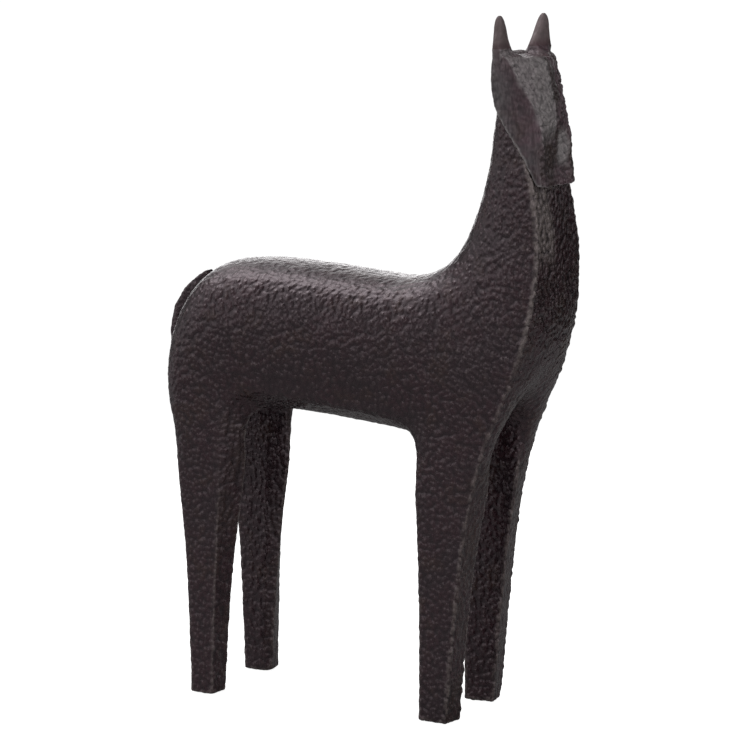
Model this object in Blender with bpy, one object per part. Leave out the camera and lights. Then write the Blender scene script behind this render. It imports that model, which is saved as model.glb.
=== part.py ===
"""Standing horse, a bronze statuette built from sectional castings.

Frame: +X is the way the horse faces, +Y its left side, +Z up; the origin is on the ground, under the middle
of its bounding box. Points below are in millimetres, with x counted from a line 6.1 mm ahead of that middle.

One master pattern (torso, neck and legs as a single subdivision surface) is cut along flat joints into the
castings, so that their skins meet flush. Spigots, sleeves and tenons carry the joints, and pins lock them.
"""

import math

import bmesh
import bpy
from mathutils import Matrix, Vector

# Driving dimensions, in millimetres.
MM = 0.001
ORIGIN_X = -6.1  # where the middle of the bounding box lies along the points' x
FIT = 0.3  # clearance between any two pieces
LEG_SEAM_Z = 156.0
NECK_SEAM_Z = 262.0
SMOOTHING = 2  # subdivision levels of the patterns
BEYOND = 400.0  # farther out than any point of the horse

SPIGOT_RISE = 14.0
SPIGOT_ROOT = 8.0
SPIGOT_CORNER = 2.0
PIN_RADIUS = 2.0
SLEEVE_DROP = 13.0
SLEEVE_WALL = 4.0
PAD_THICK = 1.5
PAD_PROUD = 0.2
PAD_INSET = 2.9
PAD_CORNER = 1.5

# Creases of the patterns: 0 leaves an edge soft, 1 keeps it sharp.
RIDGE = 0.75
ARRIS = 0.6
SOFT_ARRIS = 0.45
JAW_ARRIS = 0.9

# The pattern's rings, from rump to poll. Each runs down the left side from the spine to the keel, the
# middle of the underside: spine, spine side, upper flank, flank, lower flank, crease, inner, keel.
# From the foreleg on, the crease is the ridge that bounds the flat front of the chest and neck.
BODY_RINGS = {
    "buttock": [(-109, 0, 241.5), (-108.5, 16, 238.5), (-111.5, 30, 228), (-117, 37.5, 212),
                (-121, 40.5, 190), (-117, 40.5, 168), (-116, 22, 166), (-120, 0, 172)],
    "haunch": [(-94, 0, 255.2), (-94, 19, 253), (-95, 34, 244), (-97, 40, 222),
               (-98, 41.5, 195), (-97, 41.5, 168), (-95, 21, 166), (-95, 0, 170)],
    "stifle": [(-71, 0, 257.2), (-72, 19, 255.3), (-73, 35, 246), (-75, 40, 223),
               (-77, 40, 200), (-78, 38.7, 182), (-57, 21, 168), (-57, 0, 169.3)],
    "loin": [(-48, 0, 257.5), (-48, 19, 255.5), (-48, 35, 246), (-48, 40, 223),
             (-49, 39.5, 200), (-50, 34.8, 181), (-46, 17, 170.3), (-45, 0, 169)],
    "girth": [(0, 0, 253.2), (0, 19, 251.7), (0, 34, 242.5), (0, 39.5, 222),
              (0, 39, 198), (0, 34.5, 177.5), (0, 16, 167), (0, 0, 164)],
    "elbow": [(25, 0, 250.2), (26, 18, 249), (28, 33, 240), (32, 39, 221),
              (36, 39, 199), (40, 35.5, 172.5), (38, 15.5, 161), (34, 0, 163)],
    "shoulder": [(44, 0, 254), (45, 17, 253), (48, 31, 245), (54, 37.5, 224),
                 (61, 38.5, 200), (65, 37, 170), (65, 15.5, 162), (66, 0, 179)],
    "forearm": [(57, 0, 263), (59, 14.5, 262), (65, 27, 255), (77, 33.5, 236),
                (88, 36, 210), (98.3, 34.5, 178), (100, 15, 175), (102.5, 0, 185)],
    "chest": [(65, 0, 275), (67, 13, 274), (74, 24, 270), (89, 29, 259),
              (102.5, 34, 241), (115.3, 34.5, 222), (120, 16, 221), (121, 0, 221)],
    "throat": [(72.5, 0, 296), (75, 11, 295), (81, 20.5, 292), (94, 25, 287),
               (107, 27.5, 279), (120, 28, 266), (120.5, 14, 266), (121, 0, 266)],
    "gullet": [(78, 0, 316), (80, 9.5, 316), (85, 18, 313), (95, 22.5, 309),
               (106, 25.5, 304), (115.7, 26.5, 299), (116.3, 13, 299), (116.6, 0, 299)],
    "nape": [(81, 0, 343), (83, 10, 343), (88, 16, 343), (94, 18.5, 340),
             (102, 19.5, 336), (108, 19.5, 331), (109, 9, 331), (109.5, 0, 331)],
    "poll": [(85.5, 0, 374), (87, 8, 374), (91, 13, 372), (95, 14, 368),
             (99, 14, 362), (103, 13, 355), (104, 7, 355), (104.5, 0, 355)],
}
RUMP_MIDLINE = [(-120, 0, 228.5), (-125, 0, 211), (-126, 0, 190)]

# Leg rings by height: outer back, outer middle, outer front, inner front, inner middle, inner back.
FORELEG_RINGS = [
    [(44, 36, 157), (64, 37.5, 157), (87.5, 35, 157), (91, 15.3, 157), (64, 15.7, 157), (44, 15.7, 157)],
    [(48, 35.7, 108), (61, 37.5, 108), (77.2, 37.2, 108), (80.3, 20, 108), (61, 19.8, 108), (48, 19.8, 108)],
    [(48.9, 35.6, 55), (60, 36.6, 55), (72.3, 37.2, 55), (74, 20.7, 55), (60, 20.7, 55), (49.3, 20.7, 55)],
    [(48.9, 35.5, PAD_PROUD), (59, 36.2, PAD_PROUD), (67.2, 36.6, PAD_PROUD),
     (69.4, 21, PAD_PROUD), (59, 21, PAD_PROUD), (50.3, 21, PAD_PROUD)],
]
HINDLEG_RINGS = [
    [(-112.5, 40, 159), (-96, 41.3, 159), (-78, 39, 159), (-62, 25, 159), (-82, 22, 159), (-112.5, 22, 159)],
    [(-105, 39, 105), (-93, 40, 105), (-81, 39, 105), (-73.5, 26.5, 105), (-82, 22.6, 105), (-105, 23, 105)],
    [(-101.8, 39, 52), (-93, 40, 52), (-83.8, 39, 52), (-79.2, 27, 52), (-86, 23.6, 52), (-102.4, 23.8, 52)],
    [(-99.8, 40.2, PAD_PROUD), (-93, 40.4, PAD_PROUD), (-84.7, 40, PAD_PROUD),
     (-82.7, 26.6, PAD_PROUD), (-87, 24.4, PAD_PROUD), (-101, 24.4, PAD_PROUD)],
]

# Head rings, top to bottom: forehead ridge, brow corner, cheek, jaw edge, back of the head.
HEAD_RINGS = [
    [(110, 0, 379.5), (101, 31.5, 378.5), (95, 33, 379.5), (91.8, 31, 380.5), (89, 0, 381)],
    [(112.4, 0, 367), (105.5, 28, 366), (96.5, 31.5, 366), (89.6, 29.8, 367), (90, 0, 367)],
    [(113.7, 0, 356), (110.7, 22.3, 356), (101, 27.2, 356), (89.6, 28.7, 356), (92, 0, 356)],
    [(116.3, 0, 345), (114.3, 19.3, 345), (105, 23.8, 345), (91.8, 27, 346), (96, 0, 346)],
    [(118.3, 0, 335), (116.9, 18.3, 335), (110, 22, 335), (98, 25.5, 335.5), (102, 0, 336)],
    [(116.5, 0, 322), (118.6, 20.3, 322), (115, 22.5, 322), (107.2, 24.5, 322.5), (110, 0, 323)],
    [(116.5, 0, 304.5), (119, 21.5, 305.5), (118, 22.5, 306), (114.8, 22.8, 306.5), (112.5, 0, 305)],
]

EAR_BASE_Z = 380.5
EAR_TURN = math.radians(6)  # the flat faces are turned a little towards each other
EAR_RINGS = [  # height above the base, inner and outer edge across, back and front face
    (-6.0, 12.5, 32.3, 91.2, 97.6),
    (0.0, 13.5, 33.6, 91.0, 97.8),
    (1.8, 15.2, 33.8, 91.2, 97.5),
    (4.6, 17.0, 33.6, 91.6, 97.1),
    (8.2, 19.8, 32.8, 91.7, 97.2),
    (11.8, 22.3, 31.8, 91.9, 97.3),
    (15.6, 24.7, 31.3, 92.4, 97.0),
    (18.2, 26.2, 30.4, 93.2, 96.4),
    (19.6, 27.3, 29.4, 94.2, 95.5),
]

TAIL_LINE = [(-109, 0, 247), (-118.5, 0, 240), (-126.5, 0, 230.5), (-131.5, 0, 219),
             (-132.5, 0, 205), (-131, 0, 180), (-126.5, 0, 150), (-121.5, 0, 118)]
# Thickness and half width at each point of the tail's line.
TAIL_SECTIONS = [(4, 5), (6.5, 6.5), (8, 7), (8.5, 7), (8, 7), (7, 6.5), (6, 5.5), (4.5, 4)]

POLL = (98, 0, 380)
CHIN = (116, 0, 307.5)

BARREL_CORE = dict(centre=(-18, 211), half=(84, 33, 38))
# The chest and neck's hollow, upward: centre along x, height, half length, half width.
NECK_CORE = [(76, 214, 19, 17), (86, 245, 20, 18.5), (91, 266, 19, 17.5), (94, 290, 14, 14.5),
             (96, 320, 9, 9)]

FORE_SPIGOT = dict(centre=(64, 26), half=(12.5, 5.2), pin=(18.5, 33.5))
HIND_SPIGOT = dict(centre=(-94, 31), half=(11, 4.8), pin=(24, 38))
LEGS = {"foreleg": (FORELEG_RINGS, FORE_SPIGOT), "hindleg": (HINDLEG_RINGS, HIND_SPIGOT)}
HEAD_TENON = dict(centre=(100, 0), half=(5.0, 8.5), rise=(328, 366))
HEAD_PIN_RISE = 10
HEAD_PIN_REACH = 16
HEAD_PIN_RADIUS = 1.6
NECK_PIN_BITE = 7
EAR_TENON = dict(centre=(94.3, 23), half=(1.7, 3.6), rise=(371, 383))
EAR_PIN_RISE = 3.0
EAR_PIN_REACH = 3.4
EAR_PIN_RADIUS = 0.8
TAIL_TENON = (-119.5, -2.8, 230), (-106, 2.8, 235.5)
TAIL_PIN_BACK = 3.5
TAIL_PIN_REACH = 6.5
TAIL_PIN_RADIUS = 1.1
BELLY_PLUGS = {"belly_plug_fore": 8, "belly_plug_hind": -34}
PLUG_RADIUS = 8
PLUG_SPAN = (155, 172.4)
PLUG_HOLE_MORE = 12  # how much farther up than the plug its hole reaches, into the barrel's hollow

LEG_ZONE = 60  # half the length of the block that takes one leg out of the pattern


def place(point):
    x, y, z = point
    return Vector((x - ORIGIN_X, y, z)) * MM


def clear_scene():
    for obj in list(bpy.data.objects):
        bpy.data.objects.remove(obj, do_unlink=True)


def material(name, color, roughness, metallic):
    mat = bpy.data.materials.new(name)
    mat.use_nodes = True
    shader = mat.node_tree.nodes["Principled BSDF"]
    shader.inputs["Base Color"].default_value = (*color, 1)
    shader.inputs["Roughness"].default_value = roughness
    shader.inputs["Metallic"].default_value = metallic
    mat.diffuse_color = (*color, 1)
    return mat


def object_of(name, bm, mat, helper=False):
    """A mesh object from bm, with its normals turned out. A helper only shapes other objects."""
    bmesh.ops.recalc_face_normals(bm, faces=bm.faces)
    mesh = bpy.data.meshes.new(name)
    bm.to_mesh(mesh)
    bm.free()
    obj = bpy.data.objects.new(name, mesh)
    bpy.context.scene.collection.objects.link(obj)
    if mat:
        mesh.materials.append(mat)
    if helper:
        obj.hide_render = True
        obj.display_type = "WIRE"
    return obj


def subdivide(obj, levels=SMOOTHING):
    smooth = obj.modifiers.new("Smooth form", "SUBSURF")
    smooth.levels = smooth.render_levels = levels


def combine(obj, operation, other):
    step = obj.modifiers.new(operation.title() + " " + other.name, "BOOLEAN")
    step.operation = operation
    step.object = other


# --- The body pattern ------------------------------------------------------------------------------------


class Cage:
    """A symmetric cage: points are given for the left side and mirrored to the right."""

    def __init__(self):
        self.bm = bmesh.new()
        self.sharp = self.bm.edges.layers.float.new("crease_edge")

    def point(self, xyz):
        """The left and right vertices of a point. On the middle plane they are one."""
        left = self.bm.verts.new(place(xyz))
        if abs(xyz[1]) < 1e-9:
            return left, left
        right = self.bm.verts.new(place((xyz[0], -xyz[1], xyz[2])))
        return left, right

    def face(self, *points):
        self.bm.faces.new([p[0] for p in points])
        self.bm.faces.new([p[1] for p in reversed(points)])

    def crease(self, amount, *points):
        for start, end in zip(points, points[1:]):
            for side in (0, 1):
                edge = self.bm.edges.get((start[side], end[side]))
                edge[self.sharp] = amount


SPINE, SPINE_SIDE, UPPER, FLANK, LOWER, CREASE, INNER, KEEL = range(8)
OUT_BACK, OUT_MIDDLE, OUT_FRONT, IN_FRONT, IN_MIDDLE, IN_BACK = range(6)


def leg_onto(cage, top_ring, rings):
    """Extends the opening with edge top_ring down through rings to a flat sole."""
    levels = [top_ring] + [[cage.point(p) for p in ring] for ring in rings]
    for above, below in zip(levels, levels[1:]):
        for i in range(len(above)):
            j = (i + 1) % len(above)
            cage.face(above[i], above[j], below[j], below[i])
    sole = levels[-1]
    cage.face(sole[OUT_BACK], sole[OUT_MIDDLE], sole[IN_MIDDLE], sole[IN_BACK])
    cage.face(sole[OUT_MIDDLE], sole[OUT_FRONT], sole[IN_FRONT], sole[IN_MIDDLE])
    cage.crease(1.0, *sole, sole[0])
    return levels


def body_cage():
    cage = Cage()
    rings = {name: [cage.point(p) for p in ring] for name, ring in BODY_RINGS.items()}
    names = list(rings)
    leg_spans = {("buttock", "haunch"), ("haunch", "stifle"), ("elbow", "shoulder"), ("shoulder", "forearm")}
    for back, front in zip(names, names[1:]):
        for row in range(SPINE, KEEL):
            if row == CREASE and (back, front) in leg_spans:
                continue
            a, b = rings[back], rings[front]
            cage.face(a[row], b[row], b[row + 1], a[row + 1])

    rump = rings["buttock"]
    middle = [cage.point(p) for p in RUMP_MIDLINE]
    cage.face(rump[SPINE], rump[SPINE_SIDE], rump[UPPER], middle[0])
    cage.face(middle[0], rump[UPPER], rump[FLANK], middle[1])
    cage.face(middle[1], rump[FLANK], rump[LOWER], middle[2])
    cage.face(middle[2], rump[LOWER], rump[CREASE], rump[INNER])
    cage.bm.faces.new([middle[2][0], rump[INNER][0], rump[KEEL][0], rump[INNER][1]])

    top = rings["poll"]
    cage.bm.faces.new([p[0] for p in top] + [p[1] for p in reversed(top[1:KEEL])])

    def leg_top(back, mid, front):
        a, b, c = rings[back], rings[mid], rings[front]
        return [a[CREASE], b[CREASE], c[CREASE], c[INNER], b[INNER], a[INNER]]

    fore = leg_onto(cage, leg_top("elbow", "shoulder", "forearm"), FORELEG_RINGS)
    hind = leg_onto(cage, leg_top("buttock", "haunch", "stifle"), HINDLEG_RINGS)

    front_ridge = [rings[n][CREASE] for n in ("nape", "gullet", "throat", "chest", "forearm")]
    front_ridge += [level[OUT_FRONT] for level in fore[1:]]
    cage.crease(RIDGE, *front_ridge)
    for corner in (IN_FRONT, IN_BACK, OUT_BACK):
        cage.crease(ARRIS, *[level[corner] for level in fore[1:]])
    cage.crease(RIDGE, *[level[OUT_FRONT] for level in hind])
    for corner in (IN_FRONT, IN_MIDDLE, IN_BACK):
        cage.crease(ARRIS, *[level[corner] for level in hind[1:]])
    cage.crease(SOFT_ARRIS, *[level[OUT_BACK] for level in hind[1:]])
    cage.crease(SOFT_ARRIS, *[rings[n][CREASE] for n in ("stifle", "loin", "girth", "elbow")])
    return cage.bm


# --- Cutters and cores -----------------------------------------------------------------------------------


def block(name, low, high):
    """A helper box between two corners."""
    bm = bmesh.new()
    bmesh.ops.create_cube(bm, size=1)
    size = [(b - a) * MM for a, b in zip(low, high)]
    middle = place([(a + b) / 2 for a, b in zip(low, high)])
    bmesh.ops.scale(bm, vec=size, verts=bm.verts)
    bmesh.ops.translate(bm, vec=middle, verts=bm.verts)
    return object_of(name, bm, None, helper=True)


def rounded_post(name, centre, half, low_z, high_z, radius, mat=None, grow=0.0, helper=True):
    """A vertical post with rounded corners; grow widens it all round and at the top."""
    bm = bmesh.new()
    bmesh.ops.create_cube(bm, size=1)
    size = ((half[0] + grow) * 2 * MM, (half[1] + grow) * 2 * MM, (high_z + grow - low_z) * MM)
    bmesh.ops.scale(bm, vec=size, verts=bm.verts)
    middle = place((centre[0], centre[1], (low_z + high_z + grow) / 2))
    upright = [e for e in bm.edges if abs((e.verts[0].co - e.verts[1].co).z) > size[2] / 2]
    bmesh.ops.bevel(bm, geom=upright, offset=(radius + grow) * MM, segments=3, affect="EDGES", profile=0.5)
    bmesh.ops.translate(bm, vec=middle, verts=bm.verts)
    return object_of(name, bm, mat, helper=helper)


def rod(name, start, end, radius, mat=None, helper=False, sides=16):
    """A round rod from start to end."""
    a, b = place(start), place(end)
    bm = bmesh.new()
    bmesh.ops.create_cone(bm, cap_ends=True, segments=sides, radius1=radius * MM, radius2=radius * MM,
                          depth=(b - a).length)
    turn = Vector((0, 0, 1)).rotation_difference(b - a).to_matrix().to_4x4() @ Matrix.Rotation(0.1, 4, "Z")
    bmesh.ops.transform(bm, matrix=Matrix.Translation((a + b) / 2) @ turn, verts=bm.verts)
    obj = object_of(name, bm, mat, helper=helper)
    shade(obj)
    return obj


def shade(obj, angle=0.6):
    obj.data.shade_smooth()
    obj.data.set_sharp_from_angle(angle=angle)


def pattern(name, cage_bm, mat=None, helper=True):
    """A smooth closed form from a cage; its creases come from the cage's layer."""
    obj = object_of(name, cage_bm, mat, helper=helper)
    subdivide(obj)
    return obj


def grown(source, name, amount=FIT):
    """A helper copy of a pattern, larger by amount all round."""
    obj = source.copy()
    obj.name = name
    bpy.context.scene.collection.objects.link(obj)
    obj.hide_render = True
    obj.display_type = "WIRE"
    swell = obj.modifiers.new("Clearance", "DISPLACE")
    swell.mid_level = 0
    swell.strength = amount * MM
    return obj


def casting(name, source, mat):
    """A casting that starts as a copy of the whole pattern and is cut down by the steps that follow."""
    obj = source.copy()
    obj.data = source.data.copy()
    obj.data.materials.clear()
    obj.data.materials.append(mat)
    obj.data.shade_smooth()
    obj.name = name
    obj.hide_render = False
    obj.display_type = "TEXTURED"
    bpy.context.scene.collection.objects.link(obj)
    return obj


def lofted(name, loops, mat=None, helper=False):
    """A closed solid through loops of points, with flat ends."""
    bm = bmesh.new()
    rows = [[bm.verts.new(place(p)) for p in loop] for loop in loops]
    for low, high in zip(rows, rows[1:]):
        for i in range(len(low)):
            j = (i + 1) % len(low)
            bm.faces.new([low[i], low[j], high[j], high[i]])
    bm.faces.new(rows[0])
    bm.faces.new(rows[-1])
    obj = object_of(name, bm, mat, helper=helper)
    return obj


def oval(centre, half, power, count):
    """Points of a superellipse about centre in its own plane; power 2 is an ellipse."""
    points = []
    for i in range(count):
        turn = 2 * math.pi * (i + 0.5) / count
        across = math.copysign(abs(math.cos(turn)) ** (2 / power), math.cos(turn))
        along = math.copysign(abs(math.sin(turn)) ** (2 / power), math.sin(turn))
        points.append((centre[0] + half[0] * across, centre[1] + half[1] * along))
    return points


def barrel_core():
    """The hollow of the barrel, a rounded oblong."""
    bm = bmesh.new()
    bmesh.ops.create_uvsphere(bm, u_segments=18, v_segments=10, radius=1)
    x0, z0 = BARREL_CORE["centre"]
    half = BARREL_CORE["half"]
    for vert in bm.verts:
        swell = sum(abs(c) ** 2.6 for c in vert.co) ** (-1 / 2.6)
        vert.co *= swell
        vert.co = place((x0 + vert.co.z * half[0], vert.co.y * half[1], z0 + vert.co.x * half[2]))
    return object_of("barrel_core", bm, None, helper=True)


def neck_core(name, shrink, low=None, high=None):
    """The hollow of the chest and neck, made smaller by shrink, between two heights."""
    stations = NECK_CORE
    low = stations[0][1] if low is None else low
    high = stations[-1][1] if high is None else high
    heights = [low] + [s[1] for s in stations if low < s[1] < high] + [high]
    loops = []
    for z in heights:
        x, half_x, half_y = neck_core_at(z)
        loop = oval((x, 0), (half_x - shrink, half_y - shrink), 2, 20)
        loops.append([(px, py, z) for px, py in loop])
    return lofted(name, loops, helper=True)


def neck_core_at(z):
    """Centre and half sizes of the neck's hollow at a height, by straight lines between the stations."""
    for (x0, z0, a0, b0), (x1, z1, a1, b1) in zip(NECK_CORE, NECK_CORE[1:]):
        if z <= z1:
            t = (z - z0) / (z1 - z0)
            return x0 + t * (x1 - x0), a0 + t * (a1 - a0), b0 + t * (b1 - b0)
    return NECK_CORE[-1][0], *NECK_CORE[-1][2:]


# --- The head, ears and tail -----------------------------------------------------------------------------


NOSE, BROW, CHEEK, JAW, NAPE = range(5)
BROW_RINGS = 5  # the forehead's middle ridge runs down this many rings and fades on the muzzle


def head_cage():
    cage = Cage()
    rings = [[cage.point(p) for p in ring] for ring in HEAD_RINGS]
    for above, below in zip(rings, rings[1:]):
        for i in range(NOSE, NAPE):
            cage.face(above[i], above[i + 1], below[i + 1], below[i])
    for ring, middle in ((rings[0], POLL), (rings[-1], CHIN)):
        centre = cage.point(middle)
        cage.face(ring[NOSE], ring[BROW], ring[CHEEK], centre)
        cage.face(centre, ring[CHEEK], ring[JAW], ring[NAPE])
    cage.crease(RIDGE, *[ring[BROW] for ring in rings[:-1]])
    cage.crease(JAW_ARRIS, *[ring[JAW] for ring in rings])
    cage.crease(ARRIS, *[ring[NOSE] for ring in rings[:BROW_RINGS]])
    cage.crease(ARRIS, *rings[0][BROW:])
    cage.crease(SOFT_ARRIS, *rings[-1])
    return cage.bm


def ear_solid(name, side, mat=None):
    """A flat upright ear, thin from front to back, narrowing to a rounded tip."""
    loops = []
    turn = Matrix.Rotation(-side * EAR_TURN, 2)
    for height, inner, outer, back, front in EAR_RINGS:
        centre = Vector(((back + front) / 2, side * (inner + outer) / 2))
        half = ((front - back) / 2, (outer - inner) / 2)
        loop = [centre + turn @ Vector(p) for p in oval((0, 0), half, 4, 16)]
        loops.append([(*p, EAR_BASE_Z + height) for p in loop])
    obj = lofted(name, loops, mat)
    shade(obj)
    return obj


def tail_solid(name, mat):
    """A strip with softened edges along TAIL_LINE, from its root on the croup to its free end."""
    loops = []
    last = len(TAIL_LINE) - 1
    for i, (spot, (thick, half_width)) in enumerate(zip(TAIL_LINE, TAIL_SECTIONS)):
        before, after = Vector(TAIL_LINE[max(i - 1, 0)]), Vector(TAIL_LINE[min(i + 1, last)])
        along = (after - before).normalized()
        inward = Vector((0, 1, 0)).cross(along)
        if inward.x < 0:
            inward.negate()
        middle = Vector(spot) + inward * thick / 2
        section = oval((0, 0), (thick / 2, half_width), 3.5, 12)
        loops.append([middle + inward * a + Vector((0, b, 0)) for a, b in section])
    obj = lofted(name, [[tuple(p) for p in loop] for loop in loops], mat)
    shade(obj)
    return obj


# --- Assembly --------------------------------------------------------------------------------------------


SIDES = {"left": 1, "right": -1}


def main():
    clear_scene()
    bronze = material("Patinated bronze", (0.045, 0.036, 0.034), 0.45, 0.85)
    pin_bronze = material("Pin bronze", (0.42, 0.26, 0.12), 0.35, 1.0)
    felt = material("Black felt", (0.012, 0.012, 0.013), 0.95, 0.0)

    body = pattern("body_pattern", body_cage())
    head_form = pattern("head_pattern", head_cage())
    head_room = grown(head_form, "head_clearance")
    body_room = grown(body, "body_clearance")
    barrel = barrel_core()
    chest_hollow = neck_core("chest_hollow", 0.0, high=NECK_SEAM_Z + 1)

    gap = FIT / 2
    low, high = LEG_SEAM_Z + gap, NECK_SEAM_Z - gap
    torso_zone = block("torso_zone", (-BEYOND, -BEYOND, low), (BEYOND, BEYOND, high))
    neck_zone = block("neck_zone", (-BEYOND, -BEYOND, NECK_SEAM_Z + gap), (BEYOND, BEYOND, BEYOND))

    torso = casting("torso", body, bronze)
    for operation, other in (("INTERSECT", torso_zone), ("DIFFERENCE", barrel), ("DIFFERENCE", chest_hollow)):
        combine(torso, operation, other)

    head = casting("head", head_form, bronze)
    build_neck(torso, head, body, head_room, neck_zone, bronze, pin_bronze)
    for side_name, side in SIDES.items():
        build_ear(side_name, side, head, head_room, bronze, pin_bronze)
    build_tail(torso, body_room, bronze, pin_bronze)
    for side_name, side in SIDES.items():
        for kind in LEGS:
            build_leg(kind, side_name, side, body, torso, bronze, pin_bronze, felt)
    for plug_name, x in BELLY_PLUGS.items():
        build_plug(plug_name, x, body, torso, bronze)


def build_neck(torso, head, body, head_room, neck_zone, bronze, pin_bronze):
    """The neck casting, with its sleeve into the chest, its tenon into the head and the pins of both."""
    neck = casting("neck", body, bronze)
    combine(neck, "INTERSECT", neck_zone)
    combine(neck, "DIFFERENCE", head_room)
    sleeve = neck_core("neck_sleeve", FIT, NECK_SEAM_Z - SLEEVE_DROP, NECK_SEAM_Z + 3)
    combine(neck, "UNION", sleeve)
    tenon = dict(centre=HEAD_TENON["centre"], half=HEAD_TENON["half"], radius=2.0)
    low, high = HEAD_TENON["rise"]
    combine(neck, "UNION", rounded_post("head_tenon", low_z=low, high_z=high, **tenon))
    hollow = neck_core("neck_hollow", FIT + SLEEVE_WALL, NECK_SEAM_Z - SLEEVE_DROP - 1)
    combine(neck, "DIFFERENCE", hollow)
    combine(head, "DIFFERENCE", rounded_post("head_socket", low_z=low, high_z=high, grow=FIT, **tenon))

    z = (low + high) / 2 + HEAD_PIN_RISE
    x = HEAD_TENON["centre"][0]
    start, end = (x, -HEAD_PIN_REACH, z), (x, HEAD_PIN_REACH, z)
    pinned("head_pin", start, end, HEAD_PIN_RADIUS, (neck, head), pin_bronze)
    z = NECK_SEAM_Z - SLEEVE_DROP / 2
    x, _, half_y = neck_core_at(z)
    for side_name, side in SIDES.items():
        start = (x, side * (half_y - SLEEVE_WALL - 0.5), z)
        end = (x, side * (half_y + NECK_PIN_BITE), z)
        pinned(f"neck_pin_{side_name}", start, end, PIN_RADIUS, (neck, torso), pin_bronze)


def pinned(name, start, end, radius, holders, mat):
    """A pin from start to end, in a hole through each piece that it holds."""
    pin = rod(name, start, end, radius, mat)
    a, b = Vector(start), Vector(end)
    reach = (b - a).normalized() * FIT
    hole = rod(name + "_hole", a - reach, b + reach, radius + FIT, helper=True)
    for holder in holders:
        combine(holder, "DIFFERENCE", hole)
    return pin


def build_ear(side_name, side, head, head_room, bronze, pin_bronze):
    ear = ear_solid(f"ear_{side_name}", side, bronze)
    combine(ear, "DIFFERENCE", head_room)
    x, y = EAR_TENON["centre"]
    low, high = EAR_TENON["rise"]
    shape = dict(centre=(x, side * y), half=EAR_TENON["half"], radius=0.8, low_z=low)
    combine(ear, "UNION", rounded_post(f"ear_tenon_{side_name}", high_z=high, **shape))
    socket = rounded_post(f"ear_socket_{side_name}", high_z=high, **(shape | dict(low_z=low - FIT)), grow=FIT)
    combine(head, "DIFFERENCE", socket)
    z = low + EAR_PIN_RISE
    pinned(f"ear_pin_{side_name}", (x - EAR_PIN_REACH, side * y, z), (x + EAR_PIN_REACH, side * y, z),
           EAR_PIN_RADIUS, (ear, head), pin_bronze)


def build_tail(torso, body_room, bronze, pin_bronze):
    tail = tail_solid("tail", bronze)
    combine(tail, "DIFFERENCE", body_room)
    low, high = TAIL_TENON
    combine(tail, "UNION", block("tail_tenon", low, high))
    spread = [c - FIT for c in low], [c + FIT for c in high]
    combine(torso, "DIFFERENCE", block("tail_socket", *spread))
    x = high[0] - TAIL_PIN_BACK
    z = (low[2] + high[2]) / 2
    start, end = (x, -TAIL_PIN_REACH, z), (x, TAIL_PIN_REACH, z)
    pinned("tail_pin", start, end, TAIL_PIN_RADIUS, (tail, torso), pin_bronze)


def build_leg(kind, side_name, side, body, torso, bronze, pin_bronze, felt):
    """A leg casting with its spigot and pin, and the felt pad in its sole."""
    name = f"{kind}_{side_name}"
    rings, post = LEGS[kind]
    sole = rings[-1]
    leg = casting(name, body, bronze)
    x, y = post["centre"]
    inner_y, outer_y = sorted((0, side * LEG_ZONE))
    zone = block(name + "_zone", (x - LEG_ZONE, inner_y, -1), (x + LEG_ZONE, outer_y, LEG_SEAM_Z - FIT / 2))
    combine(leg, "INTERSECT", zone)

    xs, ys = [p[0] for p in sole], [p[1] for p in sole]
    centre = ((min(xs) + max(xs)) / 2, side * (min(ys) + max(ys)) / 2)
    half = ((max(xs) - min(xs)) / 2 - PAD_INSET, (max(ys) - min(ys)) / 2 - PAD_INSET)
    pad = dict(centre=centre, half=half, radius=PAD_CORNER, high_z=PAD_THICK)
    rounded_post(f"sole_pad_{name}", low_z=0, mat=felt, helper=False, **pad)
    combine(leg, "DIFFERENCE", rounded_post(name + "_recess", low_z=-1, grow=FIT, **pad))

    shape = dict(centre=(x, side * y), half=post["half"], radius=SPIGOT_CORNER)
    shape |= dict(low_z=LEG_SEAM_Z - SPIGOT_ROOT, high_z=LEG_SEAM_Z + SPIGOT_RISE)
    combine(leg, "UNION", rounded_post(name + "_spigot", **shape))
    combine(torso, "DIFFERENCE", rounded_post(name + "_socket", grow=FIT, **shape))
    z = LEG_SEAM_Z + SPIGOT_RISE / 2
    inner, outer = post["pin"]
    start, end = (x, side * inner, z), (x, side * outer, z)
    pinned(f"{kind}_pin_{side_name}", start, end, PIN_RADIUS, (leg, torso), pin_bronze)


def build_plug(name, x, body, torso, bronze):
    """A disc that closes a core opening: its outer face is part of the belly's surface."""
    low, high = PLUG_SPAN
    plug = casting(name, body, bronze)
    disc = rod(name + "_disc", (x, 0, low), (x, 0, high), PLUG_RADIUS, helper=True, sides=24)
    combine(plug, "INTERSECT", disc)
    top = high + PLUG_HOLE_MORE
    hole = rod(name + "_hole", (x, 0, low), (x, 0, top), PLUG_RADIUS + FIT, helper=True, sides=24)
    combine(torso, "DIFFERENCE", hole)


main()
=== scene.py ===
"""Looks of the standing bronze horse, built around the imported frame.

The torso, neck and legs are castings of one pattern, so their skins are made as one fine surface, given the
dabbed relief of the original clay, and then parted along the castings' flat joints. Head and ears are made in
the same way. Tail, core plugs and sole pads are fine meshes of their own.

Lengths are in metres, and MM turns millimetres to metres. Relief and pale patches are worked out in
millimetres. A pair of values that something fades between starts with the one where there is nothing of it.
"""

import itertools
import math

import bmesh
import bpy
import numpy as np
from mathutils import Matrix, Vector
from mathutils.bvhtree import BVHTree


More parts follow.
